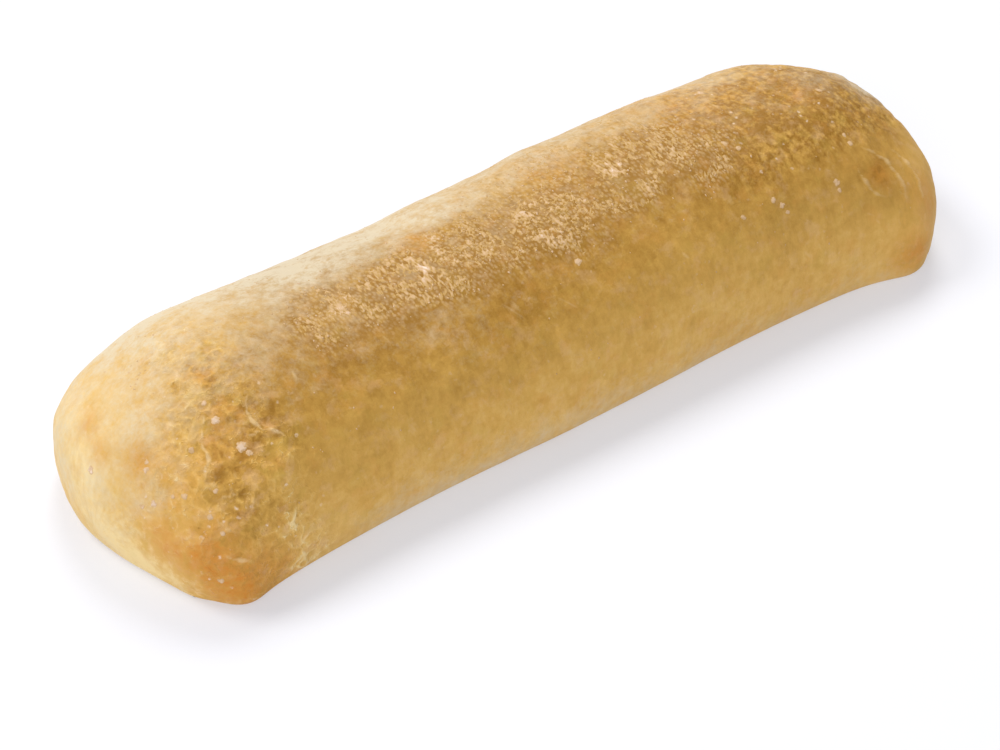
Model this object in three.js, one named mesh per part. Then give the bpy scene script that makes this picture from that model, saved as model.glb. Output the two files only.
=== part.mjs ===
// A whole ciabatta loaf: one solid piece of bread, long and flat-bottomed, with blunt ends.
// Millimetres, +Z up. The loaf lies along X with its near end at -X and its front at -Y,
// and the origin is the middle of its underside.
import * as THREE from "three";

// Driving dimensions
const loafLength = 290;
const halfWidth = 42.6; // of the plain outline, before the swells of the sides
const crownHeight = 52; // of the plain crown, before its swells
const endBulge = 17; // how far the middle of each end stands out past its corners
const cornerRadius = 10.3; // of the outline at the widest line
const cornerSoftening = 1.6; // how soon the corners round off on the way up to the ridge
const endSuddenness = 6; // how late along the loaf its ends start to bulge and to slant
const tuckEasing = 4; // how close to a corner the underside's edge stops sitting in
const ridgeHalfLength = 103.5;
const ridgeHalfWidth = 2;
const shoulderPower = 2.2; // 2 is an elliptical shoulder, more is a squarer one
const widestHeight = 12.4; // the height at which the loaf is widest
const bellyTuck = 4; // how far the underside's edge sits in from the widest line
const endDrop = 4.8; // how much lower the crown is at the tips than in the middle
const endDropPower = 3; // how late along the loaf its crown starts to drop
const sideBow = -3.7; // how far both ends lean towards the front
const endSkew = { near: -0.12, far: -0.06 }; // slant of each end across the loaf

// Broad swells of the dough: a place along X, a reach, and a rise outwards or upwards
const frontSwells = [
  { at: -95, reach: 32, rise: 0.7 },
  { at: 0, reach: 55, rise: 2.5 },
  { at: 95, reach: 32, rise: 0.6 },
];
const backSwells = [
  { at: -95, reach: 32, rise: 2.7 },
  { at: 0, reach: 55, rise: -1.5 },
  { at: 95, reach: 32, rise: -1.4 },
];
const crownSwells = [
  { at: -55, reach: 32, rise: -2.8 },
  { at: 0, reach: 32, rise: -1.2 },
  { at: 55, reach: 32, rise: 1.4 },
  { at: 110, reach: 32, rise: 1.4 },
];

// Where the cut dough was drawn out to a point at its corners, low down
const cornerReach = 18;
const cornerFade = 3; // how soon the pull dies away above the widest line
const cornerPulls = [
  { end: -1, side: -1, along: 4.7, across: 1.9 },
  { end: 1, side: -1, along: -2.2, across: 5.3 },
  { end: -1, side: 1, along: 1, across: 1 },
  { end: 1, side: 1, along: 1, across: 1 },
];

// Fineness of the faceted surface
const aroundCount = 160;
const bellyRows = 4;
const crownRows = 13;

const halfLength = loafLength / 2;

function bell(offset, reach) {
  return Math.exp(-((offset / reach) ** 2));
}

function swell(swells, x) {
  return swells.reduce((sum, { at, reach, rise }) => sum + rise * bell(x - at, reach), 0);
}

function crownAt(x) {
  return crownHeight + swell(crownSwells, x) - endDrop * Math.abs(x / halfLength) ** endDropPower;
}

// The rows of the crust, from the rim of the underside up to the ridge. `closing` runs from
// 0 at the full outline to 1 at the ridge, and `height` gives the row's height at x.
function crustRows() {
  const rows = [];
  for (let i = 0; i < bellyRows; i++) {
    const turn = (Math.PI / 2) * (1 - i / bellyRows);
    const z = widestHeight * (1 - Math.sin(turn));
    rows.push({ closing: 0, tuck: bellyTuck * (1 - Math.cos(turn)), height: () => z });
  }
  for (let i = 0; i <= crownRows; i++) {
    const turn = (Math.PI / 2) * (i / crownRows);
    const rise = Math.sin(turn) ** (2 / shoulderPower);
    const closing = 1 - Math.max(Math.cos(turn), 0) ** (2 / shoulderPower);
    const height = (x) => THREE.MathUtils.lerp(widestHeight, crownAt(x), rise);
    rows.push({ closing, tuck: 0, height });
  }
  return rows;
}

// A rectangle with round corners, as points evenly spaced from the middle of its +X end.
function roundedRectangle(along, across, radius) {
  const [x, y] = [along - radius, across - radius];
  const outline = new THREE.Shape();
  outline.moveTo(along, 0);
  outline.absarc(x, y, radius, 0, Math.PI / 2);
  outline.absarc(-x, y, radius, Math.PI / 2, Math.PI);
  outline.absarc(-x, -y, radius, Math.PI, 1.5 * Math.PI);
  outline.absarc(x, -y, radius, 1.5 * Math.PI, 2 * Math.PI);
  outline.closePath();
  return outline.getSpacedPoints(aroundCount).slice(0, aroundCount);
}

// Moves a point towards the ridge line by `tuck`, but leaves the four corners where they are.
function tuckIn(point, tuck) {
  const atEnd = (Math.abs(point.x) / halfLength) ** tuckEasing;
  const corner = atEnd * (Math.abs(point.y) / halfWidth) ** tuckEasing;
  const inward = new THREE.Vector2(
    Math.sign(point.x) * Math.max(Math.abs(point.x) - ridgeHalfLength, 0),
    point.y,
  );
  point.addScaledVector(inward.normalize(), -tuck * THREE.MathUtils.clamp(1 - corner, 0, 1));
}

function pullCorners(point, closing) {
  const { x, y } = point;
  for (const { end, side, along, across } of cornerPulls) {
    const away = Math.hypot(x - end * (halfLength - endBulge), y - side * halfWidth);
    const share = bell(away, cornerReach) * (1 - closing) ** cornerFade;
    point.x += end * along * share;
    point.y += side * across * share;
  }
}

function crustRow({ closing, tuck, height }) {
  const along = THREE.MathUtils.lerp(halfLength - endBulge, ridgeHalfLength, closing);
  const across = THREE.MathUtils.lerp(halfWidth, ridgeHalfWidth, closing);
  const drawn = THREE.MathUtils.lerp(cornerRadius, across, closing);
  const radius = THREE.MathUtils.lerp(drawn, across, Math.min(1, cornerSoftening * closing));
  return roundedRectangle(along, across, radius).map((point) => {
    const { x, y } = point;
    const atEnd = Math.min(Math.abs(x) / along, 1) ** endSuddenness;
    point.x += Math.sign(x) * endBulge * (1 - closing) * (1 - (y / across) ** 2) * atEnd;
    const side = swell(y < 0 ? frontSwells : backSwells, point.x);
    point.y += (y / halfWidth) * side;
    tuckIn(point, tuck);
    pullCorners(point, closing);
    const slant = point.x < 0 ? endSkew.near : endSkew.far;
    point.x += slant * point.y * (Math.abs(point.x) / halfLength) ** endSuddenness;
    point.y += sideBow * (point.x / halfLength) ** 2;
    return new THREE.Vector3(point.x, point.y, height(point.x));
  });
}

// Joins the rows with quads, and closes the underside and the ridge with a ladder of quads
// between the points that face each other across the loaf.
function loafGeometry() {
  const rows = crustRows().map(crustRow);
  const at = (row, i) => row * aroundCount + (i % aroundCount);
  const faces = [];
  const quad = (a, b, c, d) => faces.push(a, b, c, a, c, d);
  for (let row = 0; row + 1 < rows.length; row++) {
    for (let i = 0; i < aroundCount; i++) {
      quad(at(row, i), at(row, i + 1), at(row + 1, i + 1), at(row + 1, i));
    }
  }
  const top = rows.length - 1;
  for (let i = 0; i < aroundCount / 2; i++) {
    const facing = aroundCount - i;
    quad(at(0, i), at(0, facing), at(0, facing - 1), at(0, i + 1));
    quad(at(top, i), at(top, i + 1), at(top, facing - 1), at(top, facing));
  }
  const geometry = new THREE.BufferGeometry().setFromPoints(rows.flat());
  geometry.setIndex(faces);
  return geometry;
}

// Puts the middle of the bounding box above the origin, with the underside at z = 0.
function centre(geometry) {
  geometry.computeBoundingBox();
  const middle = geometry.boundingBox.getCenter(new THREE.Vector3());
  geometry.translate(-middle.x, -middle.y, -geometry.boundingBox.min.z);
  geometry.computeVertexNormals();
  return geometry;
}

const crust = new THREE.MeshStandardMaterial({ color: "#c49a5c", roughness: 0.85, metalness: 0 });

const loaf = new THREE.Mesh(centre(loafGeometry()), crust);
loaf.name = "loaf";

const ciabatta = new THREE.Group();
ciabatta.add(loaf);

export default ciabatta;
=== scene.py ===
import math
import random
import bmesh
import bpy
from mathutils import Matrix, Vector, noise
from mathutils.bvhtree import BVHTree
from mathutils.kdtree import KDTree


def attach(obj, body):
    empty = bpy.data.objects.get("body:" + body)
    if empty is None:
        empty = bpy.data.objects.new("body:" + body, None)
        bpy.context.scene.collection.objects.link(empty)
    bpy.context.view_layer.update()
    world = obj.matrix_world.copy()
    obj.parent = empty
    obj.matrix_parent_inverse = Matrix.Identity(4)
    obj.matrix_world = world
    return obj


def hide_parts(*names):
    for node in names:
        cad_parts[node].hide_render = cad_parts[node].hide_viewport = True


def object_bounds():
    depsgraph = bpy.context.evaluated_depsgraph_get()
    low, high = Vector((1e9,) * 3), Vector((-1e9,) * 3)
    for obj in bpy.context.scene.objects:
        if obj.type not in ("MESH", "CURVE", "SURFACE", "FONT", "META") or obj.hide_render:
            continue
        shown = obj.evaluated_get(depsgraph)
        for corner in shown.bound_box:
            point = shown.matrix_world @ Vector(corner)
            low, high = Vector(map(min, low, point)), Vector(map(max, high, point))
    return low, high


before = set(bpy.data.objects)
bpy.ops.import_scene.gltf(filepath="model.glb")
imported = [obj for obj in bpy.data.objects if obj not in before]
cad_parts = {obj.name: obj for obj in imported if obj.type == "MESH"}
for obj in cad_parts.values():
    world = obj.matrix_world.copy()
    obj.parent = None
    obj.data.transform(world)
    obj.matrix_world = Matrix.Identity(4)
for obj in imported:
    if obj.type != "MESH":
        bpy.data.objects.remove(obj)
cadLow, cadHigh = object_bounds()
loafMiddle = (cadLow + cadHigh) / 2
# With both seeds fixed, every run makes the same loaf
random.seed(7)
noise.seed_set(7)


def mm(value):
    return value / 1000


def linear(code):
    # sRGB hex to the linear colour that the shaders take
    parts = [int(code[i : i + 2], 16) / 255 for i in (1, 3, 5)]
    return [c / 12.92 if c <= 0.04045 else ((c + 0.055) / 1.055) ** 2.4 for c in parts] + [1.0]


def addNode(tree, kind, settings=None, links=None):
    # A setting is one of the node's own, or else the value of the input of that name or number
    node = tree.nodes.new(kind)
    for name, value in (settings or {}).items():
        if isinstance(name, str) and hasattr(node, name):
            setattr(node, name, value)
        else:
            node.inputs[name].default_value = value
    for name, source in (links or {}).items():
        tree.links.new(source, node.inputs[name])
    return node


def setStops(ramp, stops):
    # Fills a colour ramp from a rising list of (place, sRGB hex) pairs
    while len(ramp.elements) < len(stops):
        ramp.elements.new(0.5)
    for element, (position, code) in zip(ramp.elements, stops):
        element.position, element.color = position, linear(code)


def bell(distance, reach):
    return math.exp(-((distance / reach) ** 2))


def smoothStep(low, high, value):
    share = min(max((value - low) / (high - low), 0.0), 1.0)
    return share * share * (3 - 2 * share)


def window(low, high, soft, value):
    # 1 between low and high, fading to 0 over soft on either side
    return smoothStep(low - soft, low + soft, value) * (1 - smoothStep(high - soft, high + soft, value))


def between(stops, value):
    # Reads a rising list of (place, amount) pairs, with straight lines between them
    for (a, low), (b, high) in zip(stops, stops[1:]):
        if value <= b:
            return low + (high - low) * min(max((value - a) / (b - a), 0.0), 1.0)
    return stops[-1][1]


def wander(spot, amount, size):
    # A soft shift both ways by about the amount, which changes over the size in mm
    return amount * noise.noise(spot / size)


def aboveTable(spot):
    # 0 at the underside, 1 from a few mm above it
    return smoothStep(0, 3, spot.z)


def report(piece):
    piece.data.calc_loop_triangles()
    print("made", piece.name, "with", len(piece.data.loop_triangles), "triangles")


def addPiece(name, bm, material):
    mesh = bpy.data.meshes.new(name)
    bm.to_mesh(mesh)
    bm.free()
    mesh.shade_smooth()
    mesh.materials.append(material)
    piece = bpy.data.objects.new(name, mesh)
    bpy.context.scene.collection.objects.link(piece)
    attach(piece, "root")
    return piece


# ---- the crust's own coordinates ----
# `along` is mm from the middle towards the far end. `turn` is degrees round the section: 0 low on
# the front, 90 at the crown, 180 low at the back. Every spot is a Vector in mm.
axisHeight = 5  # mm above the underside, what the turn is measured round
mmPerDegree = 0.75


def turnOf(spot):
    turn = math.degrees(math.atan2(spot.z - axisHeight, -spot.y))
    return turn if turn > -90 else turn + 360


def spotAt(tree, along, turn):
    # The place on the crust that a ray from the loaf's axis reaches, and the way the crust faces there
    ray = Vector((0, -math.cos(math.radians(turn)), math.sin(math.radians(turn))))
    spot, normal = tree.ray_cast(Vector((along, 0, axisHeight)) / 1000, ray)[:2]
    return (spot * 1000, normal) if spot else (None, None)


def unrolled(spot):
    # The spot's place on the crust laid out flat, in mm along it and round it from the crown
    return Vector((spot.x, (turnOf(spot) - 90) * mmPerDegree, 0))


# ---- crust ----
crustPiece = {
    "creaseAtRim": 0.75,
    "levels": 2,
    "sink": 0.38,  # mm, taken off all over so that the relief stays inside the loaf's box
    "lumps": {"size": 24, "height": 0.55},  # mm
    "dimples": {"size": 8, "height": 0.28},
    "blisters": {"size": 3.1, "height": 0.12},
    "puckers": {"size": 4.4, "width": 0.09, "height": 0.28},  # the width is a share of the size
    "foldStep": 0.3,  # mm, between the points of a fold's path
    "foldWavers": [(0.7, 2.5), (0.45, 0.9)],  # how far a path strays and over what size, in mm
    "foldReach": 2.4,  # mm, how far from a fold's path its slopes are looked for
    "plainWidth": 0.48,  # mm, of a fold that gives no width of its own
    # How dark the crust is baked, with painted light making the near end paler, and how much flour is left on
    # it, by the turn and along the loaf
    "bakeByTurn": [(-20, 0.2), (0, 0.27), (8, 0.33), (25, 0.41), (40, 0.54), (55, 0.74), (70, 0.88),
                   (85, 0.88), (100, 0.71), (115, 0.6), (140, 0.57), (165, 0.4), (180, 0.22)],
    # The near face is paler partly in its own colour and partly as painted light, where the end faces the
    # light
    "nearFaceBakeAndPaintedLightByTurn": [(-20, 0.12), (0, 0.14), (22, 0.28), (50, 0.32), (64, 0.17), (130, 0.13)],
    "flourByTurn": [(-20, 0.45), (-3, 0.32), (6, 0.18), (16, 0.05), (50, 0.05), (70, 0.1), (90, 0.26),
                    (105, 0.37), (118, 0.55), (138, 0.66), (158, 0.4), (176, 0.05)],
    "nearFlourByTurn": [(40, 0), (66, 0.14), (80, 0.23), (94, 0.28), (120, 0.42), (145, 0.75), (158, 0.5),
                        (176, 0.05)],
    "flourByAlong": [(-30, 1), (10, 0.85), (40, 0.75), (75, 0.6), (110, 0.42), (140, 0.5)],
    "endMiddle": {"nearBake": 0.16, "farBake": 0.4, "flour": 0.22},
    "nearFaceShare": 0.8,  # how far the near face goes by its own table, paler partly as painted light
    # The near shoulders are paler partly as painted light on the lit end; the puckers' crests partly as a
    # painted highlight
    "paler": {"nearShoulder": 0.1, "farFoot": 0.14, "puckers": 0.3},
    "bandDarker": 0.1,
    "leastFlour": {"nearFace": 0.2, "farFace": 0.5},
    "mostFlour": 0.85,
    "flourGone": {"blushes": 0.8, "nearTop": 0.4, "band": 0.8},
    # How strongly the shades of the crust differ from place to place
    "lively": {"plain": 0.62, "nearFace": -0.15, "curled": 0.42, "pebbly": 0.1, "blushes": 0.42,
               "farFoot": -0.15, "floured": -0.35},
}

# Where the kinds of skin lie, in mm along the loaf and in degrees of turn. Two numbers are where
# a kind starts and where it is full; three are its two ends and how softly it fades at both.
zones = {
    "curled": {"rim": [(0, -134), (30, -138), (60, -136), (80, -126), (110, -120)], "inner": -99,
               "soft": 7, "turn": (128, 108), "wander": (5, 9)},
    "pebbly": {"along": (52, 72), "turn": (58, 122, 8)},
    "creased": {"along": (102, 127, 3), "turn": (18, 58, 5)},
    "nearEnd": {"along": (-72, -100), "shoulders": [(48, 66), (72, 88)]},
    "nearFace": {"along": (-108, -136), "floured": (20, 60), "top": (95, 115)},
    "farFace": {"along": (114, 134), "turn": (74, 122, 12)},
    "farFoot": {"along": (85, 125), "turn": (60, 35)},
    "farCalm": {"along": (80, 110), "turn": (70, 50)},
    "endMiddle": {"along": (90, 120), "near": (16, 4), "far": (36, 12)},
    "band": {"along": (-78, 72, 14), "turn": (67, 100, 5), "wander": {"turn": (9, 15), "along": (12, 10)},
             "drifts": 7, "thinnest": 0.55},
    "spill": {"along": (-12, 60, 9), "turn": (67, 118, 5), "share": 0.74, "bare": (96, 108)},
}

# Where the loaf swells or sinks on its own: along, turn, reach in mm and rise in mm
swells = [
    (-31, 123, 10, -2.0),
    (20, 122, 12, 1.2),
    (133, 36, 12, 1.3),
    (6, 112, 4, 1.0),
    (14, 114, 4, 1.0),
    (52, 115, 5, 0.9),
    (62, 113, 5, 0.8),
    (71, 115, 5, 0.5),
]

# Where the cut edge of the dough stands out or in level with the table: x, y, reach and push in mm
cornerPushes = [(-122, -43.5, 5.5, 1.2), (-131, -37.5, 6, -1.3)]

# Folds of the skin, as paths of (along, turn), and how high and wide they stand in mm
wrinkles = [
    {"path": [(-113, 74), (-115, 70), (-118, 66), (-120, 60), (-121, 53), (-125, 47)], "height": 0.42},
    {"path": [(-103, 68), (-106, 63), (-106, 57), (-105, 54), (-102, 52), (-100, 48)], "height": 0.46},
    {"path": [(-105, 55), (-109, 54), (-112, 50)], "height": 0.3},
    {"path": [(-120, 84), (-123, 76), (-126, 66), (-128, 58)], "height": 0.2, "width": 0.9},
    {"path": [(-89, 68), (-89, 62)], "height": 0.4},
    {"path": [(-132, 63), (-130, 60)], "height": 0.4},
    {"path": [(-122, 79), (-125, 73), (-125, 66)], "height": 0.2},
    {"path": [(-124, 39), (-119, 38), (-115, 36)], "height": 0.3},
    {"path": [(-128, 19), (-124, 16), (-120, 13)], "height": 0.35},
    {"path": [(-127, 33), (-124, 28), (-123, 24)], "height": 0.3},
    {"path": [(108, 55), (113, 50), (116, 43), (117, 35), (116, 27)], "height": 0.34, "width": 0.8},
    {"path": [(120, 50), (123, 42), (124, 33), (122, 24)], "height": 0.3, "width": 0.7},
    {"path": [(104, 50), (103, 44), (105, 37), (109, 33)], "height": 0.3, "width": 0.7},
    {"path": [(-24, 60), (-22, 54), (-19, 50)], "height": 0.2},
    {"path": [(-8, 54), (-6, 48), (-2, 44)], "height": 0.2},
]
looseWrinkles = {
    "count": 260,
    "along": (-124, 124),
    "turn": (4, 150),
    "length": (2, 6.5),
    "height": (0.04, 0.18),
    "lean": (-0.8, 0.4),
    "width": 0.55,
}

# Patches baked darker or, below zero, left paler, and one painted fold shadow: along, turn, reach in mm and
# amount
patches = [
    (-122, 2, 13, 0.33),
    (-130, 19, 8, 0.2),
    (-142, 2, 10, -0.15),
    (-134, 69, 6, 0.2),
    (-110, 81, 3, 0.2),
    # A painted shadow under a fold at the near end
    (-121, 47, 1.6, 0.25),
    (-102, 60, 7, 0.1),
    (-17, 49, 5, 0.12),
    (-29, 48, 11, 0.1),
    (55, 73, 9, 0.07),
    (40, 45, 18, -0.1),
    (-119, 30, 9, 0.38),
    (111, 38, 12, 0.24),
    (110, 42, 4, 0.2),
    (118, 5, 9, 0.36),
    (98, 98, 12, 0.1),
    (-142, 18, 16, -0.2),
    (-112, 5, 8, 0.1),
    (-120, 50, 9, 0.18),
    (135, 60, 9, -0.26),
    (126, 78, 9, -0.08),
    (-142, 100, 14, -0.2),
    (-112, 22, 12, -0.1),
    (-60, 120, 22, 0.2),
    (-65, 86, 9, -0.15),
    (110, 58, 7, -0.12),
    (-118, 100, 14, 0.06),
    (30, 118, 20, 0.06),
    (-5, 24, 14, -0.03),
    (-140, 145, 12, -0.12),
]
# Patches where the sugar caught and the crust went orange
blushes = [
    (-123, 2, 12, 0.75),
    (-130, 22, 8, 0.6),
    (-138, 33, 7, 0.45),
    (-136, 22, 7, 0.4),
    (-128, 6, 9, 0.4),
    (-134, 69, 6, 0.5),
    (-137, 112, 5, 0.55),
    (-139, 94, 5, 0.45),
    (-131, 47, 6, 0.3),
    (-115, 55, 9, 0.25),
    (-110, 81, 3, 0.4),
    (110, 42, 4, 0.5),
    (118, 5, 8, 0.6),
    (125, 25, 9, 0.5),
    (105, 84, 6, 0.2),
    (98, 98, 14, 0.15),
    (70, 108, 16, 0.3),
    (18, 104, 9, 0.3),
    (-30, 100, 6, 0.4),
]

# Patches where more flour stayed on: along, turn, reach and amount
dustings = [
    (-127, 85, 7, 0.15),
    (-133, 79, 6, 0.16),
    (-137, 50, 6, 0.2),
    (-142, 76, 6, 0.12),
    (-142, 39, 5, 0.15),
    (-90, 140, 14, 0.22),
    (-104, 148, 22, 0.22),
    (-65, 120, 14, 0.14),
    (-95, 120, 12, 0.06),
    (-120, 108, 12, 0.15),
    (-65, 88, 11, 0.16),
    (111, 88, 8, 0.14),
    (-40, 66, 16, 0.06),
    (-50, 120, 22, 0.12),
    (-20, 116, 10, 0.1),
    (-15, 98, 12, 0.08),
    (55, 102, 8, 0.2),
    (85, 118, 12, 0.15),
]


def roundedLoaf():
    s = crustPiece
    bm = bmesh.new()
    bm.from_mesh(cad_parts["loaf"].data)
    bmesh.ops.remove_doubles(bm, verts=bm.verts, dist=mm(0.01))
    bmesh.ops.join_triangles(
        bm,
        faces=bm.faces,
        angle_face_threshold=math.radians(40),
        angle_shape_threshold=math.radians(60),
    )
    crease = bm.edges.layers.float.new("crease_edge")
    for edge in bm.edges:
        under = [face.normal.z < -0.99 for face in edge.link_faces]
        if any(under) and not all(under):
            edge[crease] = s["creaseAtRim"]
    mesh = bpy.data.meshes.new("loafShape")
    bm.to_mesh(mesh)
    bm.free()
    holder = bpy.data.objects.new("loafShape", mesh)
    bpy.context.scene.collection.objects.link(holder)
    rounding = holder.modifiers.new("rounding", "SUBSURF")
    rounding.levels = rounding.render_levels = s["levels"]
    evaluated = holder.evaluated_get(bpy.context.evaluated_depsgraph_get())
    rounded = bmesh.new()
    rounded.from_mesh(evaluated.to_mesh())
    evaluated.to_mesh_clear()
    bpy.data.objects.remove(holder)
    return rounded


def curlAt(spot):
    # 1 at the near end, where the skin shrank into curled folds as it baked; its rim stayed smooth
    s, turn = zones["curled"], turnOf(spot)
    along = spot.x + wander(spot, *s["wander"])
    return window(between(s["rim"], turn), s["inner"], s["soft"], along) * smoothStep(*s["turn"], turn)


def pebbleAt(spot):
    # 1 on the far end's crest, where the skin broke up into fine pebbles and pits
    s = zones["pebbly"]
    return smoothStep(*s["along"], spot.x) * window(*s["turn"], turnOf(spot))


def creaseAt(spot):
    # 1 on the far end's front, where the skin creased as the loaf sank
    s = zones["creased"]
    return window(*s["along"], spot.x) * window(*s["turn"], turnOf(spot))


def endMiddleAt(spot):
    # 1 at the middle of either end, where all the turns meet and the crust has one even look
    s = zones["endMiddle"]
    across = math.hypot(spot.y, spot.z - axisHeight)
    middle = smoothStep(*s["far" if spot.x > 0 else "near"], across)
    return middle * smoothStep(*s["along"], abs(spot.x)) * aboveTable(spot)


def refine(bm, wanted):
    inside = {v for v in bm.verts if wanted(v.co * 1000)}
    edges = [e for e in bm.edges if e.verts[0] in inside and e.verts[1] in inside]
    bmesh.ops.subdivide_edges(bm, edges=edges, cuts=1, use_grid_fill=True)


def bandAt(spot):
    # The strip along the crown where the flour baked on thickest, broken up into drifts, and
    # what spilled from it over the back
    s, spill = zones["band"], zones["spill"]
    turn = turnOf(spot) + wander(spot, *s["wander"]["turn"])
    spilled = spill["share"] * window(*spill["turn"], turn) * window(*spill["along"], spot.x)
    strip = max(window(*s["turn"], turn), spilled)
    reach = window(*s["along"], spot.x + wander(spot, *s["wander"]["along"]))
    drift = smoothStep(-0.5, 0.2, noise.noise(spot / s["drifts"] + Vector((5, 0, 0))))
    return strip * reach * (s["thinnest"] + (1 - s["thinnest"]) * drift)


def pathPoints(tree, path):
    # Points close together along a wavering path over the crust
    stops = [spotAt(tree, along, turn)[0] for along, turn in path]
    points = []
    for start, end in zip(stops, stops[1:]):
        count = max(int((end - start).length / crustPiece["foldStep"]), 1)
        for i in range(count + 1):
            place = start.lerp(end, i / count)
            wavers = (amount * noise.noise_vector(place / size) for amount, size in crustPiece["foldWavers"])
            place += sum(wavers, Vector())
            points.append(tree.find_nearest(place / 1000)[0] * 1000)
    return points


def looseWrinkle():
    s = looseWrinkles
    along, turn = random.uniform(*s["along"]), random.uniform(*s["turn"])
    length, height = random.uniform(*s["length"]), random.uniform(*s["height"])
    sweep, lean = length / mmPerDegree / 2, random.uniform(*s["lean"]) * length / 2
    path = [(along + side * lean, turn + side * sweep) for side in (-1, 0, 1)]
    return {"path": path, "height": height, "width": s["width"]}


def wrinkleTree(tree):
    # Every point of every fold, with its height, which dies away at the fold's two ends, and its width
    found = []
    for wrinkle in wrinkles + [looseWrinkle() for _ in range(looseWrinkles["count"])]:
        points = pathPoints(tree, wrinkle["path"])
        for i, point in enumerate(points):
            height = wrinkle["height"] * (1 - (2 * i / (len(points) - 1) - 1) ** 4)
            height *= 0.8 + 0.7 * noise.noise(point / 2)
            width = wrinkle.get("width", crustPiece["plainWidth"]) * (0.85 + 0.7 * noise.noise(point / 2))
            found.append((point, height, width))
    folds = KDTree(len(found))
    for i, (point, height, width) in enumerate(found):
        folds.insert(point, i)
    folds.balance()
    return folds, found


def foldAt(folds, found, spot):
    height = 0.0
    for _, index, distance in folds.find_range(spot, crustPiece["foldReach"]):
        width = found[index][2]
        if distance < 3 * width:
            height = max(height, found[index][1] * bell(distance, width))
    return height


def puckerAt(spot):
    # Thin curled ridges, where a soft pattern passes zero, in places
    s = crustPiece["puckers"]
    patchy = smoothStep(-0.15, 0.2, noise.noise(spot / 9 + Vector((3, 7, 1))))
    return bell(noise.noise(spot / s["size"]), s["width"]) * patchy


def laidOut(tree, marks):
    # Puts each (along, turn, reach, amount) of a list in its place on the crust
    return [(spotAt(tree, along, turn)[0], reach, amount) for along, turn, reach, amount in marks]


def addedUp(marks, spot):
    return sum(amount * bell((spot - at).length, reach) for at, reach, amount in marks)


def reliefAt(spot, roughness, risen):
    s = crustPiece
    height = -s["sink"]
    height += addedUp(risen, spot)
    height += s["lumps"]["height"] * noise.noise(spot / s["lumps"]["size"])
    height += s["dimples"]["height"] * (1 + roughness) * noise.noise(spot / s["dimples"]["size"])
    height += s["blisters"]["height"] * (1 + 1.6 * roughness) * noise.noise(spot / s["blisters"]["size"])
    return height


def bakeAndPaintedLightAt(spot, dark):
    # How dark the crust is baked, from 0 for straw to 1 for brown, with painted light in it: the near end
    # paler where it faces the light, and one painted fold shadow
    s, turn = crustPiece, turnOf(spot)
    nearEnd = smoothStep(*zones["nearEnd"]["along"], spot.x)
    nearFace = smoothStep(*zones["nearFace"]["along"], spot.x)
    farFoot = smoothStep(*zones["farFoot"]["along"], spot.x)
    bakeAndPaintedLight = between(s["bakeByTurn"], turn)
    # The near shoulders and face are paler, partly in their own colour and partly as painted light on the end
    # that faces the light
    shoulders = sum(smoothStep(*steps, turn) for steps in zones["nearEnd"]["shoulders"])
    bakeAndPaintedLight -= s["paler"]["nearShoulder"] * nearEnd * shoulders
    bakeAndPaintedLight += (between(s["nearFaceBakeAndPaintedLightByTurn"], turn) - bakeAndPaintedLight) * s["nearFaceShare"] * nearFace
    bakeAndPaintedLight -= s["paler"]["farFoot"] * farFoot * smoothStep(*zones["farFoot"]["turn"], turn)
    evenBake = s["endMiddle"]["nearBake" if spot.x < 0 else "farBake"]
    bakeAndPaintedLight += (evenBake - bakeAndPaintedLight) * endMiddleAt(spot)
    return bakeAndPaintedLight + addedUp(dark, spot)


def flourAt(spot, blush, dusted):
    # How much flour is left on the crust; there is less where it blushed
    s, turn = crustPiece, turnOf(spot)
    nearEnd = smoothStep(*zones["nearEnd"]["along"], spot.x)
    nearFace = smoothStep(*zones["nearFace"]["along"], spot.x)
    farFace = smoothStep(*zones["farFace"]["along"], spot.x) * window(*zones["farFace"]["turn"], turn)
    flour = between(s["flourByTurn"], turn) * between(s["flourByAlong"], spot.x)
    flour += (between(s["nearFlourByTurn"], turn) - flour) * nearEnd
    floured = nearFace * smoothStep(*zones["nearFace"]["floured"], turn)
    flour = max(flour, s["leastFlour"]["nearFace"] * floured)
    flour = max(flour, s["leastFlour"]["farFace"] * farFace)
    flour += (s["endMiddle"]["flour"] - flour) * endMiddleAt(spot)
    flour = min(flour + addedUp(dusted, spot), s["mostFlour"])
    nearTop = nearFace * smoothStep(*zones["nearFace"]["top"], turn) * (1 - blush)
    return flour * (1 - s["flourGone"]["blushes"] * blush - s["flourGone"]["nearTop"] * nearTop)


def livelyAt(spot, curled, pebbly, blush, flour):
    # How much the shades differ round the spot
    s, calm = crustPiece["lively"], zones["farCalm"]
    lively = s["plain"] + s["nearFace"] * smoothStep(*zones["nearFace"]["along"], spot.x)
    lively += max(s["curled"] * curled, s["pebbly"] * pebbly) + s["blushes"] * blush
    lively += s["farFoot"] * smoothStep(*calm["along"], spot.x) * smoothStep(*calm["turn"], turnOf(spot))
    return lively + s["floured"] * min(flour, 0.5)


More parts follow.
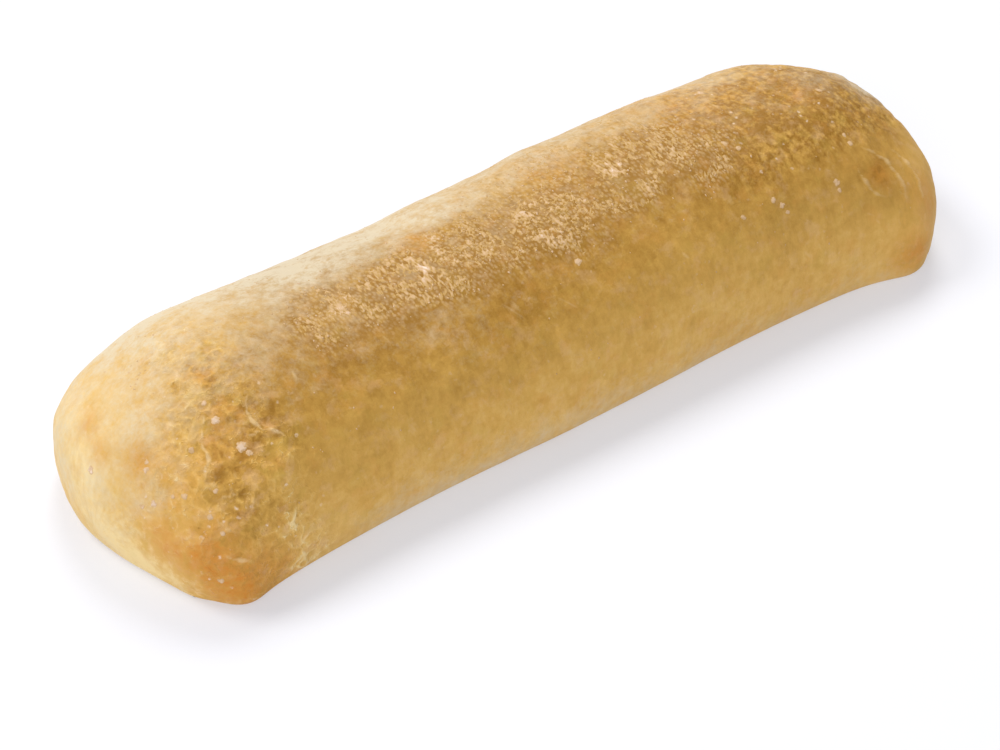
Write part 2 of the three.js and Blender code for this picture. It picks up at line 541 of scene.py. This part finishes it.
def makeCrust(material):
    s = crustPiece
    bm = roundedLoaf()
    tree = BVHTree.FromBMesh(bm)
    folds, found = wrinkleTree(tree)
    dark, orange, dusted, risen = (laidOut(tree, marks) for marks in (patches, blushes, dustings, swells))
    refine(bm, lambda spot: spot.z > 1 and max(curlAt(spot), pebbleAt(spot), creaseAt(spot)) > 0.2)
    bm.normal_update()
    names = ("bakeAndPaintedLight", "flour", "blush", "band", "fold", "curled", "pebbly", "lively", "around")
    layers = {name: bm.verts.layers.float.new(name) for name in names}
    moves = []
    for v in bm.verts:
        spot = v.co * 1000
        turn, band, curled = turnOf(spot), bandAt(spot), curlAt(spot)
        pebbly = pebbleAt(spot) * (1 - endMiddleAt(spot))
        fold, pucker = foldAt(folds, found, spot), puckerAt(spot) * curled
        blush = addedUp(orange, spot)
        flour = flourAt(spot, min(blush, 1), dusted)
        # Under the spilled flour the crust keeps the pale look of the back
        bare = band * (1 - 0.9 * smoothStep(*zones["spill"]["bare"], turn))
        # The puckers' crests are left paler, partly as a painted highlight
        v[layers["bakeAndPaintedLight"]] = bakeAndPaintedLightAt(spot, dark) + s["bandDarker"] * bare - s["paler"]["puckers"] * pucker
        v[layers["flour"]] = flour * (1 - s["flourGone"]["band"] * bare)
        v[layers["blush"]] = blush
        v[layers["band"]] = band
        v[layers["fold"]] = fold
        v[layers["curled"]] = curled
        v[layers["pebbly"]] = pebbly
        v[layers["lively"]] = livelyAt(spot, curled, pebbly, min(blush, 1), flour)
        v[layers["around"]] = turn * mmPerDegree
        relief = reliefAt(spot, max(curled, pebbly), risen) + fold + s["puckers"]["height"] * pucker
        sideways = Vector((v.normal.x, v.normal.y, 0)).normalized()
        pushed = sum(push * bell(math.dist((x, y, 2), spot), reach) for x, y, reach, push in cornerPushes)
        moves.append(v.normal * mm(relief * aboveTable(spot)) + sideways * mm(pushed))
    for v, move in zip(bm.verts, moves):
        v.co += move
        v.co.z = max(v.co.z, 0)
    crust = addPiece("crust", bm, material)
    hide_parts("loaf")
    report(crust)
    return crust


# Patterns of the skin: size in mm, detail, the seed that sets them apart, and roughness
skinPatterns = {
    "strokes": (1.6, 3, 7, 0.6),
    "blotch": (9, 3, 1, 0.6),
    "mottle": (3.0, 5, 2, 0.62),
    "speckle": (0.8, 2, 3, 0.6),
    "foldPaths": (3.6, 2, 8, 0.55),
    "foldPatches": (6, 2, 9, 0.6),
    "porePatches": (5, 2, 14, 0.6),
    "pebbles": (1.9, 3, 11, 0.55),
    "dust": (6, 5, 7, 0.66),
    "fineDust": (1.8, 2, 12, 0.6),
    "fleckPatches": (6, 3, 10, 0.6),
}
crustColours = {
    "baked": [(0.0, "#edd296"), (0.25, "#dab164"), (0.5, "#cb9e4c"), (0.75, "#b4883a"), (1.0, "#966a1e")],
    # Patches of orange, of pinkish beige and of yellow straw: seed, size in mm, colour and strength
    "patches": [(4, 6, "#cf9040", 0.33), (5, 5, "#deb68a", 0.33), (6, 7, "#b99a42", 0.32)],
    "blush": "#c8822c",
    # A painted highlight for the crests of the folds
    "fold": "#e8ca98",
    "floured": "#d5c8ad",
    "granule": "#e0c49c",
    "fleck": "#ead3bb",
}


def makeCrustMaterial():
    # Baked wheat crust: a dry skin with only a faint gloss, mottled from straw to golden tan and
    # puckered into fine curled folds, with pale flour left on it in films, granules and flecks
    # Its colour also carries painted light: highlights on the crests and folds, shade in the pores and a
    # paler near end
    material = bpy.data.materials.new("bakedWheatCrust")
    material.use_nodes = True
    tree = material.node_tree
    shader = tree.nodes["Principled BSDF"]
    shader.inputs["Roughness"].default_value = 0.62
    shader.inputs["Specular IOR Level"].default_value = 0.25
    place = addNode(tree, "ShaderNodeTexCoord").outputs["Object"]
    inMm = addNode(tree, "ShaderNodeMapping", {"Scale": (1000, 1000, 1000)}, {"Vector": place})
    spot = inMm.outputs["Vector"]

    def level(name):
        return addNode(tree, "ShaderNodeAttribute", {"attribute_name": name}).outputs["Fac"]

    def grain(size, detail, seed, rough, at=spot):
        # Each layer reads the pattern at a place of its own, so that no two line up
        apart = addNode(tree, "ShaderNodeVectorMath", {"operation": "ADD", 1: (37 * seed, 0, 0)}, {0: at})
        settings = {"Scale": 1 / size, "Detail": detail, "Roughness": rough}
        return addNode(tree, "ShaderNodeTexNoise", settings, {"Vector": apart.outputs[0]}).outputs["Fac"]

    def pattern(name, at=spot):
        return grain(*skinPatterns[name], at)

    def combine(operation, a, b=None, c=None):
        node = addNode(tree, "ShaderNodeMath", {"operation": operation})
        for i, value in enumerate((a, b, c)):
            if isinstance(value, (int, float)):
                node.inputs[i].default_value = value
            elif value is not None:
                tree.links.new(value, node.inputs[i])
        return node.outputs["Value"]

    def times(a, b):
        return combine("MULTIPLY", a, b)

    def plus(base, value, factor):
        return combine("MULTIPLY_ADD", value, factor, base)

    def centred(value):
        # Patterns run round 0.5, and what shifts a value both ways has to run round 0
        return combine("SUBTRACT", value, 0.5)

    def spread(value, low, high, most=1.0):
        settings = {"From Min": low, "From Max": high, "To Max": most}
        return addNode(tree, "ShaderNodeMapRange", settings, {"Value": value}).outputs["Result"]

    def tint(under, code, amount):
        node = addNode(tree, "ShaderNodeMix", {"data_type": "RGBA", 7: linear(code)}, {0: amount, 6: under})
        return node.outputs[2]

    def scaled(vector, scale):
        return addNode(tree, "ShaderNodeMapping", {"Scale": scale}, {"Vector": vector}).outputs["Vector"]

    def warped(vector, amounts, **soft):
        # Adds a soft pattern, times the amounts in mm, to each place
        shift = addNode(tree, "ShaderNodeTexNoise", soft, {"Vector": vector}).outputs["Color"]
        settings = {"operation": "MULTIPLY_ADD", 1: amounts}
        return addNode(tree, "ShaderNodeVectorMath", settings, {0: shift, 2: vector}).outputs[0]

    def cells(vector, size, dimensions="3D"):
        settings = {"voronoi_dimensions": dimensions, "Scale": 1 / size}
        return addNode(tree, "ShaderNodeTexVoronoi", settings, {"Vector": vector}).outputs["Distance"]

    # Places on the crust laid out flat, in mm along and round the loaf, for what runs round the section
    along = addNode(tree, "ShaderNodeSeparateXYZ", links={"Vector": spot}).outputs["X"]
    laidFlat = addNode(tree, "ShaderNodeCombineXYZ", links={"X": along, "Y": level("around")}).outputs[0]
    strokes = pattern("strokes", scaled(laidFlat, (1, 0.3, 1)))
    granules = cells(scaled(warped(laidFlat, (0.8, 0.8, 0), Scale=0.6), (1, 0.68, 1)), 1.15, "2D")
    ragged = warped(spot, (1.3, 1.3, 1.3), Scale=1.1, Detail=1.0)
    flecks, pocks = cells(ragged, 2.8), cells(ragged, 2.2)
    skinRidges = addNode(
        tree,
        "ShaderNodeTexNoise",
        {"noise_type": "RIDGED_MULTIFRACTAL", "Scale": 1 / 3.4, "Detail": 2.0, "Roughness": 0.5,
         "Lacunarity": 2.1, "Offset": 1.0, "Gain": 1.2},
        {"Vector": spot},
    ).outputs["Fac"]

    curled, pebbly, band, lively = level("curled"), level("pebbly"), level("band"), level("lively")
    blotch, mottle, speckle = pattern("blotch"), pattern("mottle", ragged), pattern("speckle")

    # Fine relief of the skin: curled folds, where a soft pattern passes its middle value, crests,
    # open pores and pebbles
    folds = spread(combine("ABSOLUTE", centred(pattern("foldPaths"))), 0.03, 0)
    folds = times(folds, spread(pattern("foldPatches"), 0.45, 0.56))
    folds = times(times(folds, spread(mottle, 0.42, 0.58)), plus(0.1, curled, 0.8))
    crests = times(spread(skinRidges, 0.75, 1.8), plus(0.1, curled, 0.75))
    pores = times(spread(pocks, 0.25, 0.08), spread(pattern("porePatches"), 0.53, 0.6))
    pores = times(pores, plus(curled, pebbly, 0.8))
    pebbles = times(centred(pattern("pebbles")), pebbly)

    # How dark each spot is: its bake, paler on the highs of the fine relief and darker in its pores, partly
    # for flour on the highs and partly as painted highlight and shade
    bakeAndPaintedLight = plus(level("bakeAndPaintedLight"), times(centred(blotch), lively), 0.7)
    bakeAndPaintedLight = plus(bakeAndPaintedLight, times(centred(mottle), lively), -0.85)
    # Crests paler, partly as a painted highlight
    bakeAndPaintedLight = plus(combine("ADD", bakeAndPaintedLight, 0.08), crests, -0.3)
    bakeAndPaintedLight = plus(bakeAndPaintedLight, centred(strokes), plus(0.25, combine("MAXIMUM", band, pebbly), 0.5))
    # Folds paler, partly as a painted highlight, and pores darker as painted shade
    for relief, amount in ((folds, -0.4), (pebbles, 1.25), (pores, 0.22)):
        bakeAndPaintedLight = plus(bakeAndPaintedLight, relief, amount)
    skin = addNode(tree, "ShaderNodeValToRGB", links={"Fac": bakeAndPaintedLight})
    setStops(skin.color_ramp, crustColours["baked"])
    colour = skin.outputs["Color"]
    for seed, size, code, most in crustColours["patches"]:
        patch = spread(grain(size, 4, seed, 0.6, ragged), 0.53, 0.67, most)
        colour = tint(colour, code, times(patch, lively))
    colour = tint(colour, crustColours["blush"], spread(times(level("blush"), plus(-0.6, mottle, 2.6)), 0, 1))
    # A painted highlight along the crests of the folds
    colour = tint(colour, crustColours["fold"], spread(level("fold"), 0.06, 0.3, 0.5))

    # Flour left on the skin: a broken film, granules along the band, and flecks in its hollows
    flour = level("flour")
    dust = plus(pattern("dust", ragged), centred(speckle), 0.35)
    dust = plus(dust, centred(pattern("fineDust")), 0.45)
    film = plus(times(centred(dust), plus(0.15, flour, 0.95)), flour, 0.5)
    colour = tint(colour, crustColours["floured"], spread(film, 0.04, 0.4, 0.85))
    granular = times(spread(granules, 0.5, 0.15, 0.6), times(band, mottle))
    colour = tint(colour, crustColours["granule"], granular)
    flecked = times(spread(flecks, 0.24, 0.1), spread(pattern("fleckPatches"), 0.53, 0.62, 0.6))
    flecked = times(flecked, combine("ADD", curled, plus(0.25, pebbly, 0.8)))
    colour = tint(colour, crustColours["fleck"], flecked)
    tree.links.new(colour, shader.inputs["Base Color"])

    height = plus(mottle, speckle, 0.45)
    for relief, amount in ((crests, 1.2), (folds, 1.3), (pores, -0.5), (pebbles, 2.4)):
        height = plus(height, relief, amount)
    bump = addNode(tree, "ShaderNodeBump", {"Strength": 0.45, "Distance": mm(0.4)}, {"Height": height})
    tree.links.new(bump.outputs["Normal"], shader.inputs["Normal"])
    return material


# ---- flour that stands on the crust ----
# Sizes in mm, `along` in mm and `turn` in degrees
flourPiece = {
    # Clots of flour baked on in drifts along the crown, cut from one fine sheet that follows the crust
    "clots": {"along": (-92, 88), "turn": (60, 122), "step": 0.29, "cell": 1.25, "height": 0.18,
              "warps": [(0.3, 0.6), (0.3, 1.7)], "dotSize": 0.5, "curlWidth": 0.17, "thin": 0.76},
    "sparkles": {"count": 350, "along": (-88, 86), "turn": (60, 108), "size": (0.2, 0.42)},
    "dust": {"count": 350, "along": (-125, 110), "turn": (95, 165), "size": (0.18, 0.32)},
    "strays": {"count": 50, "along": (-120, 120), "turn": (25, 90), "size": (0.18, 0.3)},
    "lumps": {"step": 0.16, "spare": 1.7, "bumps": 0.8, "height": 0.16},
    "rooted": 0.5,  # mm, how deep the sheets go into the crust
    "buriedBelow": -0.7,  # a sheet is cut away where its height, as a share, is below this
    # A loose grain: its length, width and height as shares of its size, its roughness and its tone
    "grain": {"length": (1.0, 1.7), "width": (0.7, 1.0), "height": 0.3, "rough": 0.12, "tone": (0.3, 0.68)},
    "batch": 60,  # grains made at a time, because a big mesh takes new ones slowly
}
# Where the flour was brushed on along the loaf: two ends and how softly it fades at both
brushStrokes = [(-70, -34, 8), (28, 52, 8)]
# Where the flour lies thickest: along, turn and reach
flourDrifts = [(-35, 84, 6), (-64, 84, 5), (-12, 80, 4), (1, 74, 5), (4, 90, 6), (34, 87, 5), (47, 81, 5)]
# The single scraps of flour: along, turn, size in mm and how pale
flourLumps = [
    (-112, 52, 1.4, 0.85), (-111, 49, 0.9, 0.75), (-114, 65, 1.2, 0.85), (-114, 73, 0.8, 0.75),
    (-123, 60, 0.8, 0.6), (-130, 45, 0.9, 0.65), (-132, 47, 0.7, 0.7), (-136, 48, 1.0, 0.9),
    (-138, 50, 0.8, 0.85), (-142, 96, 1.2, 1.0), (-134, 64, 0.9, 0.8), (-133, 67, 0.7, 0.8),
    (-129, 8, 0.9, 0.7), (-127, 34, 0.8, 0.7), (-126, 27, 0.7, 0.7), (-123, 42, 0.7, 0.7),
    (71, 50, 0.9, 0.68), (73, 47, 0.9, 0.68), (74, 44, 0.7, 0.6), (94, 46, 1.1, 0.66), (94, 43, 0.7, 0.6),
    (59, 49, 0.8, 0.6), (4, 60, 1.1, 0.7), (68, 77, 0.9, 0.75), (71, 73, 0.8, 0.65), (106, 61, 0.8, 0.65),
    (106, 57, 0.9, 0.6), (111, 84, 1.0, 0.7), (80, 107, 1.0, 0.85),
]


def clotAt(spot):
    # How far the baked flour stands out of the crust, as a share of its height; below zero, none.
    # The clots are drawn out round the loaf where the flour was brushed on.
    s = flourPiece["clots"]
    place = unrolled(spot)
    brushed = max(window(*stroke, spot.x) for stroke in brushStrokes)
    place = Vector((place.x / s["cell"], place.y / (s["cell"] * (1.25 + 1.3 * brushed)), 0))
    warps = (amount * noise.noise_vector(place * often) for amount, often in s["warps"])
    place += sum(warps, Vector())
    near = noise.voronoi(place)[0][0]
    dots = 1 - (near / s["dotSize"]) ** 2
    curls = 1 - abs(noise.noise(place * 0.9 + Vector((9, 4, 0)))) / s["curlWidth"]
    height = 0.8 * max(dots, curls) + 0.5 * noise.noise(spot / 1.8) - 0.34
    heap = sum(bell(spot.x - x, reach) * bell(turn - turnOf(spot), reach) for x, turn, reach in flourDrifts)
    height += 0.52 * min(heap, 1) - 1.1 * (1 - bandAt(spot))
    return min(max(height, -1.2), s["thin"] + (1 - s["thin"]) * min(heap, 1))


def cutAndClose(bm, thickness):
    # Cuts away the buried parts of an open sheet and gives it a second skin, sunk into the crust
    buried = [v for v in bm.verts if v[thickness] < flourPiece["buriedBelow"]]
    bmesh.ops.delete(bm, geom=buried, context="VERTS")
    loose = [v for v in bm.verts if not v.link_faces]
    bmesh.ops.delete(bm, geom=loose, context="VERTS")
    sunk = bmesh.ops.extrude_face_region(bm, geom=bm.faces[:])["geom"]
    for v in (part for part in sunk if isinstance(part, bmesh.types.BMVert)):
        inwards = Vector((v.co.x, 0, mm(axisHeight))) - v.co
        v.co += inwards.normalized() * mm(flourPiece["rooted"])
    bmesh.ops.recalc_face_normals(bm, faces=bm.faces)


def makeFlourClots(tree, material):
    s = flourPiece["clots"]
    middle = Vector((sum(s["along"]) / 2, sum(s["turn"]) / 2, 0))
    half = Vector((s["along"][1] - middle.x, s["turn"][1] - middle.y, 0))
    bm = bmesh.new()
    bmesh.ops.create_grid(
        bm,
        x_segments=int(2 * half.x / s["step"]),
        y_segments=int(2 * half.y * mmPerDegree / s["step"]),
        size=1,
    )
    thickness = bm.verts.layers.float.new("thickness")
    for v in bm.verts:
        along, turn = middle.x + v.co.x * half.x, middle.y + v.co.y * half.y
        spot, normal = spotAt(tree, along, turn)
        v[thickness] = clotAt(spot)
        v.co = (spot + normal * v[thickness] * s["height"]) / 1000
    cutAndClose(bm, thickness)
    report(addPiece("flourClots", bm, material))


def makeFlourLumps(tree, material):
    # Ragged scraps of caked flour, each a small square sheet laid on the crust and cut to a rough edge
    s = flourPiece["lumps"]
    bm = bmesh.new()
    thickness = bm.verts.layers.float.new("thickness")
    for along, turn, size, pale in flourLumps:
        middle, normal = spotAt(tree, along, turn)
        lie = normal.to_track_quat("Z", "Y").to_matrix().to_4x4()
        cells = int(2 * size * s["spare"] / s["step"])
        made = bmesh.ops.create_grid(bm, x_segments=cells, y_segments=cells, size=size * s["spare"])["verts"]
        for v in made:
            away = v.co.length / size
            spot, facing = tree.find_nearest((middle + lie @ v.co) / 1000)[:2]
            at = spot * 1000 / s["bumps"]
            ragged = 0.9 * noise.noise(at) + 0.55 * noise.noise(at * 2.6)
            rise = max(min(1 - away * away + ragged, 1), -1)
            v.co = spot + facing * mm(s["height"] * rise)
            shown = rise > flourPiece["buriedBelow"]
            v[thickness] = pale * (0.5 + 0.45 * max(rise, 0)) if shown else -1
    cutAndClose(bm, thickness)
    report(addPiece("flourLumps", bm, material))


def addGrain(bm, spot, normal, size):
    s = flourPiece["grain"]
    along = Vector((1, 0, 0)) if abs(normal.x) < 0.9 else Vector((0, 1, 0))
    around = normal.cross(along).normalized()
    lie = Matrix((around.cross(normal), around, normal)).transposed().to_4x4()
    turned = lie @ Matrix.Rotation(random.uniform(-0.6, 0.6), 4, "Z")
    length, width = size * random.uniform(*s["length"]), size * random.uniform(*s["width"])
    scale = Matrix.Diagonal((mm(width), mm(length), mm(size * s["height"]), 1))
    place = Matrix.Translation(spot / 1000) @ turned @ scale
    made = bmesh.ops.create_icosphere(bm, subdivisions=1, radius=1, matrix=place)
    tone = random.uniform(*s["tone"])
    for v in made["verts"]:
        v.co += mm(size) * s["rough"] * Vector([random.uniform(-1, 1) for _ in range(3)])
        v[bm.verts.layers.float["thickness"]] = tone


def addGrains(name, grains, material):
    # Makes the grains, each given as its spot, the way it faces and its size, a batch at a time
    whole = bmesh.new()
    scratch = bpy.data.meshes.new("batch")
    for start in range(0, len(grains), flourPiece["batch"]):
        bm = bmesh.new()
        bm.verts.layers.float.new("thickness")
        for grain in grains[start : start + flourPiece["batch"]]:
            addGrain(bm, *grain)
        bm.to_mesh(scratch)
        bm.free()
        whole.from_mesh(scratch)
    bpy.data.meshes.remove(scratch)
    report(addPiece(name, whole, material))


def makeFlour(crust, material):
    tree = BVHTree.FromObject(crust, bpy.context.evaluated_depsgraph_get())
    makeFlourClots(tree, material)
    grains = []
    for name in ("sparkles", "dust", "strays"):
        s = flourPiece[name]
        wanted = len(grains) + s["count"]
        while len(grains) < wanted:
            spot, normal = spotAt(tree, random.uniform(*s["along"]), random.uniform(*s["turn"]))
            share = bandAt(spot) if name == "sparkles" else smoothStep(0, 0.3, noise.noise(spot / 7))
            if random.random() < share:
                grains.append((spot, normal, random.uniform(*s["size"])))
    addGrains("flourGrains", grains, material)
    makeFlourLumps(tree, material)


# From the thinnest flour to the thickest
flourTones = [(0.0, "#b6904e"), (0.6, "#d1af88"), (0.85, "#dcc2aa"), (1.0, "#f0dcca")]


def makeFlourMaterial():
    # Bread flour baked on dry: a chalky cream powder with no shine, golden where it thins out
    # over the crust
    material = bpy.data.materials.new("bakedBreadFlour")
    material.use_nodes = True
    tree = material.node_tree
    shader = tree.nodes["Principled BSDF"]
    shader.inputs["Roughness"].default_value = 0.95
    shader.inputs["Specular IOR Level"].default_value = 0.2
    thickness = addNode(tree, "ShaderNodeAttribute", {"attribute_name": "thickness"}).outputs["Fac"]
    colour = addNode(tree, "ShaderNodeValToRGB", links={"Fac": thickness})
    setStops(colour.color_ramp, flourTones)
    tree.links.new(colour.outputs["Color"], shader.inputs["Base Color"])
    return material


# ---- floor, light and camera ----
studio = {
    "floorSize": 6.0,  # metres
    "floorColour": "#bdbdc0",
    "floorGlow": {"colour": "#eef0f9", "strength": 0.42},  # keeps the shadow pale, as on a white table
    "fill": 0.5,
    "lights": [
        {"name": "keyLeft", "from": (-0.38, 0.5, 0.85), "distance": 2.2, "size": 0.9, "watts": 21},
        {"name": "keyRight", "from": (0.38, 0.5, 0.85), "distance": 2.2, "size": 0.9, "watts": 22},
        {"name": "front", "from": (-0.95, -0.75, 0.6), "distance": 2.8, "size": 2.0, "watts": 26},
    ],
    "camera": {"azimuth": -36.94, "elevation": 40, "distance": 0.778, "lens": 100},
    "aimOffset": (-29.3, -30.5, -1.6),  # mm from the loaf's middle to what the camera looks at
}


def makeFloor():
    bm = bmesh.new()
    bmesh.ops.create_grid(bm, x_segments=2, y_segments=2, size=studio["floorSize"] / 2)
    mesh = bpy.data.meshes.new("floor")
    bm.to_mesh(mesh)
    bm.free()
    floor = bpy.data.objects.new("floor", mesh)
    bpy.context.scene.collection.objects.link(floor)
    material = bpy.data.materials.new("paintedFloor")
    material.use_nodes = True
    shader = material.node_tree.nodes["Principled BSDF"]
    shader.inputs["Base Color"].default_value = linear(studio["floorColour"])
    shader.inputs["Roughness"].default_value = 0.9
    shader.inputs["Emission Color"].default_value = linear(studio["floorGlow"]["colour"])
    shader.inputs["Emission Strength"].default_value = studio["floorGlow"]["strength"]
    shader.inputs["Specular IOR Level"].default_value = 0.0
    mesh.materials.append(material)


def makeLights():
    for s in studio["lights"]:
        data = bpy.data.lights.new(s["name"], "AREA")
        data.shape = "DISK"
        data.size = s["size"]
        data.energy = s["watts"]
        light = bpy.data.objects.new(s["name"], data)
        away = Vector(s["from"]).normalized()
        light.location = loafMiddle + away * s["distance"]
        light.rotation_euler = away.to_track_quat("Z", "Y").to_euler()
        bpy.context.scene.collection.objects.link(light)
    world = bpy.data.worlds.new("studio")
    bpy.context.scene.world = world
    world.use_nodes = True
    world.node_tree.nodes["Background"].inputs["Color"].default_value = (1, 1, 1, 1)
    world.node_tree.nodes["Background"].inputs["Strength"].default_value = studio["fill"]


def makeCamera():
    s = studio["camera"]
    azimuth, elevation = math.radians(s["azimuth"]), math.radians(s["elevation"])
    back = Vector(
        (
            math.sin(azimuth) * math.cos(elevation),
            -math.cos(azimuth) * math.cos(elevation),
            math.sin(elevation),
        )
    )
    data = bpy.data.cameras.new("camera")
    data.lens = s["lens"]
    data.sensor_width = 36
    camera = bpy.data.objects.new("camera", data)
    camera.location = loafMiddle + Vector(studio["aimOffset"]) / 1000 + back * s["distance"]
    camera.rotation_euler = back.to_track_quat("Z", "Y").to_euler()
    bpy.context.scene.collection.objects.link(camera)
    bpy.context.scene.camera = camera


bpy.context.scene.view_settings.view_transform = "Standard"
makeFloor()
makeLights()
makeCamera()
print("stage: floor, lights and camera")
loaf = makeCrust(makeCrustMaterial())
makeFlour(loaf, makeFlourMaterial())
